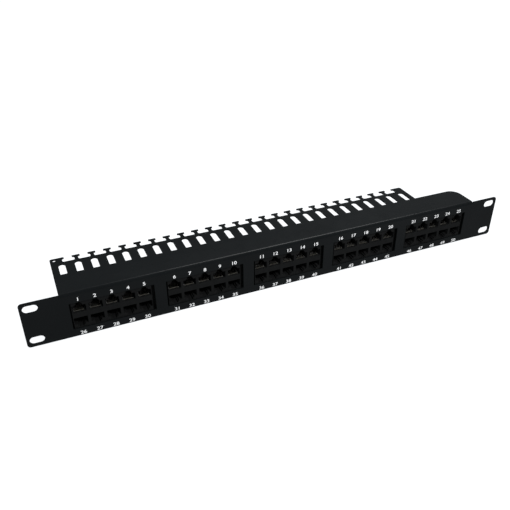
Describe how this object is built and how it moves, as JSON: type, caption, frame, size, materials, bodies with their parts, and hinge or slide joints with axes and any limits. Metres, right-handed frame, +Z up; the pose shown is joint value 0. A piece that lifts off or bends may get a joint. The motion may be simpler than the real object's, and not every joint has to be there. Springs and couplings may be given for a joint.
{
  "type": "patch panel",
  "caption": "Rack-mount patch panel: folded steel front with paired rows of modular sockets, and a top plate with cable-tie tabs over rear punch-down terminals.",
  "frame": {"origin": "centre of the rack slot pattern, in the plane of the ears' rear face where they meet the rack rails", "axes": "+X along the panel to the right as seen from the front, +Y to the rear along the rack slots, +Z up"},
  "size_m": [0.4826, 0.0596, 0.0444],
  "materials": {
    "powder_coat": "fine-textured black powder coat with white printed port numbers",
    "socket_plastic": "moulded black thermoplastic with a light satin grain",
    "insert_plastic": "moulded dark grey thermoplastic",
    "contact_gold": "gold-plated phosphor bronze wire",
    "board_laminate": "glass laminate with green solder mask",
    "terminal_plastic": "moulded off-white flame-retardant thermoplastic",
    "clip_tin": "tin-plated bronze, satin",
    "zinc_steel": "bright zinc plate"
  },
  "bodies": {
    "root": {"chassis_panel": "powder_coat", "jack_block_1": "socket_plastic", "jack_block_2": "socket_plastic", "jack_block_3": "socket_plastic", "jack_block_4": "socket_plastic", "jack_block_5": "socket_plastic", "contact_inserts_1": "insert_plastic", "contact_inserts_2": "insert_plastic", "contact_inserts_3": "insert_plastic", "contact_inserts_4": "insert_plastic", "contact_inserts_5": "insert_plastic", "contacts_1": "contact_gold", "contacts_2": "contact_gold", "contacts_3": "contact_gold", "contacts_4": "contact_gold", "contacts_5": "contact_gold", "circuit_board_1": "board_laminate", "circuit_board_2": "board_laminate", "circuit_board_3": "board_laminate", "circuit_board_4": "board_laminate", "circuit_board_5": "board_laminate", "idc_block_01": "terminal_plastic", "idc_block_02": "terminal_plastic", "idc_block_03": "terminal_plastic", "idc_block_04": "terminal_plastic", "idc_block_05": "terminal_plastic", "idc_block_06": "terminal_plastic", "idc_block_07": "terminal_plastic", "idc_block_08": "terminal_plastic", "idc_block_09": "terminal_plastic", "idc_block_10": "terminal_plastic", "idc_block_11": "terminal_plastic", "idc_block_12": "terminal_plastic", "idc_block_13": "terminal_plastic", "idc_block_14": "terminal_plastic", "idc_block_15": "terminal_plastic", "idc_block_16": "terminal_plastic", "idc_block_17": "terminal_plastic", "idc_block_18": "terminal_plastic", "idc_block_19": "terminal_plastic", "idc_block_20": "terminal_plastic", "idc_block_21": "terminal_plastic", "idc_block_22": "terminal_plastic", "idc_block_23": "terminal_plastic", "idc_block_24": "terminal_plastic", "idc_block_25": "terminal_plastic", "idc_clips_1": "clip_tin", "idc_clips_2": "clip_tin", "idc_clips_3": "clip_tin", "idc_clips_4": "clip_tin", "idc_clips_5": "clip_tin", "weld_standoffs": "powder_coat", "board_screws": "zinc_steel"}
  },
  "joints": []
}
